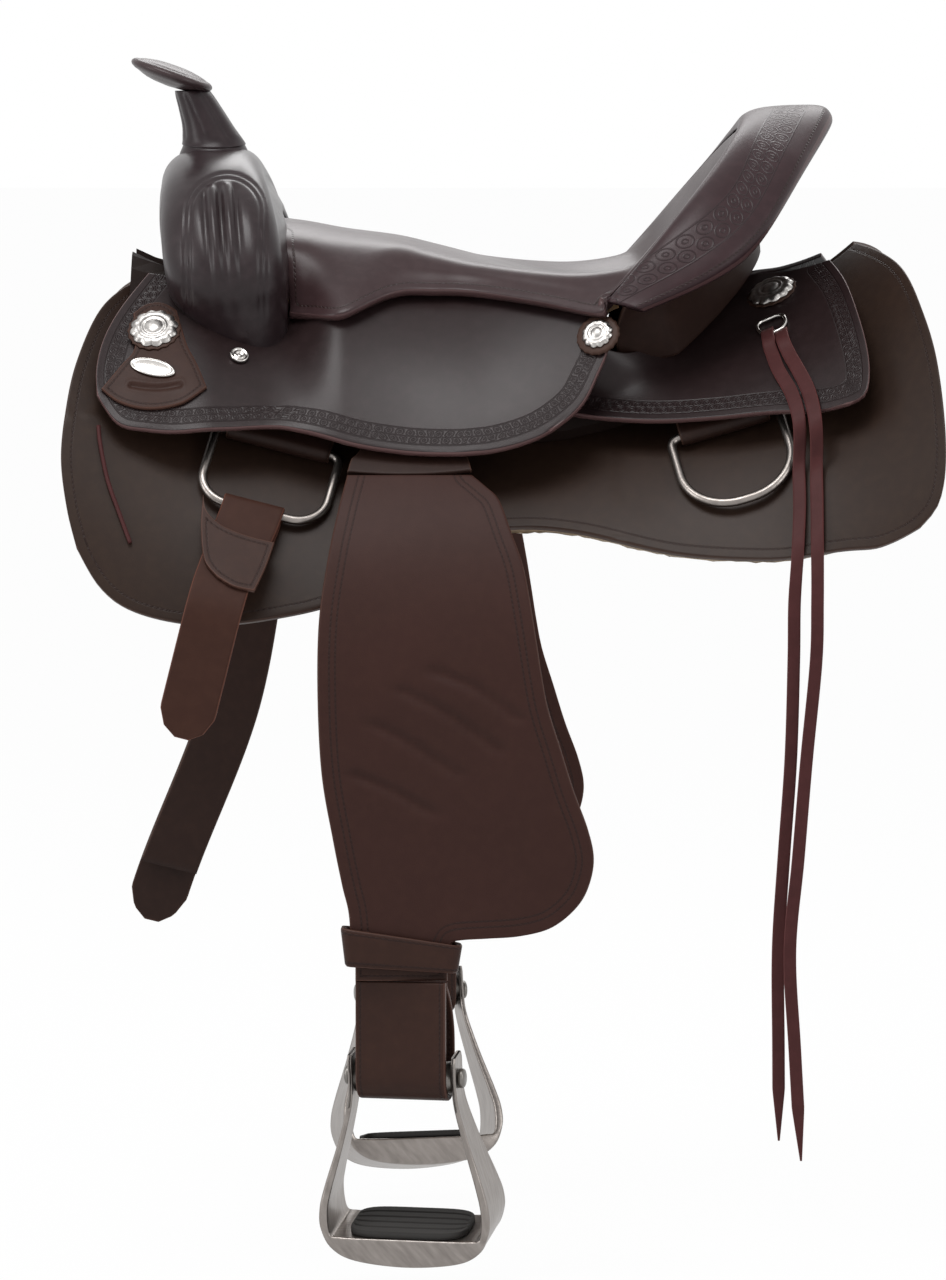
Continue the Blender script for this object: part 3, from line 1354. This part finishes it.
def build_strings(side, tag):
    over_rear = REAR_JOCKEY_IN + REAR_JOCKEY + 0.0016
    over_skirt = SKIRT_OUT + 0.0040
    laid = [(0.2280, 0.0145, over_rear), (0.2340, 0.0000, over_rear), (0.2425, -0.0150, over_rear),
            (0.2470, -0.0290, over_rear), (0.2483, -0.0420, over_rear - 0.004),
            (0.2480, -0.0700, over_skirt + 0.003), (0.2480, -0.1000, over_skirt), (0.2460, -0.1300, over_skirt)]
    free = [(0.2430, 0.2520, -0.170), (0.2425, 0.2535, -0.215), (0.2405, 0.2530, -0.290), (0.2355, 0.2525, -0.365),
            (0.2315, 0.2520, -0.435), (0.2320, 0.2520, -0.510), (0.2325, 0.2520, -0.581)]
    first = [lace_path(side, laid, free, k * STRING_HALF) for k in (-1, 1)]
    laid = [(0.2400, 0.0165, over_rear), (0.2480, 0.0020, over_rear), (0.2550, -0.0120, over_rear),
            (0.2590, -0.0270, over_rear), (0.2605, -0.0420, over_rear - 0.004),
            (0.2610, -0.0700, over_skirt + 0.003), (0.2610, -0.1000, over_skirt), (0.2605, -0.1280, over_skirt)]
    free = [(0.2600, 0.2590, -0.170), (0.2590, 0.2610, -0.215), (0.2520, 0.2615, -0.290), (0.2460, 0.2620, -0.365),
            (0.2400, 0.2620, -0.435), (0.2440, 0.2620, -0.510), (0.2490, 0.2620, -0.595)]
    second = [lace_path(side, laid, free, k * STRING_HALF) for k in (-1, 1)]
    for name, path in ((f"saddle_string_front_{tag}", first), (f"saddle_string_rear_{tag}", second)):
        strap_mesh(name, list(zip(*path)), -side, STRING_THICK, LACE_LEATHER, sign=-1.0)


def build_lace(side, tag):
    r = 0.0016
    over = SKIRT_OUT + r + 0.0006
    route = [(-0.2868, -0.0420), (-0.2850, -0.0560), (-0.2790, -0.0820), (-0.2700, -0.1060), (-0.2610, -0.1290)]
    points = [form_point(side, x, s_of(x, z, over), over) for x, z in route]
    points = spline([tuple(p) for p in points], 12)
    rod(f"front_lace_{tag}", points, r, LACE_LEATHER, False, 1)


def main():
    grid = seat_grid()
    build_swell()
    build_horn()
    swell_room = bpy.data.objects["swell_room"]
    build_seat(grid, swell_room)
    build_ground_seat(grid, swell_room)
    build_roll()
    build_cantle(grid)
    for side, tag in ((-1, "near"), (1, "off")):
        build_skirt(side, tag)
        build_bar(side, tag)
        build_jockey(side, tag, swell_room)
        build_rear_jockey(side, tag)
        frame = build_ring(side, tag, "front")
        build_ring(side, tag, "rear")
        turn_x, turn_y = build_fender(side, tag)
        build_stirrup(side, tag, turn_x, turn_y)
        build_trim(side, tag)
        if side < 0:
            build_latigo(side, frame)
            build_keeper(side, tag)
            build_strings(side, tag)
            build_lace(side, tag)
        else:
            build_billet(side, frame)


main()
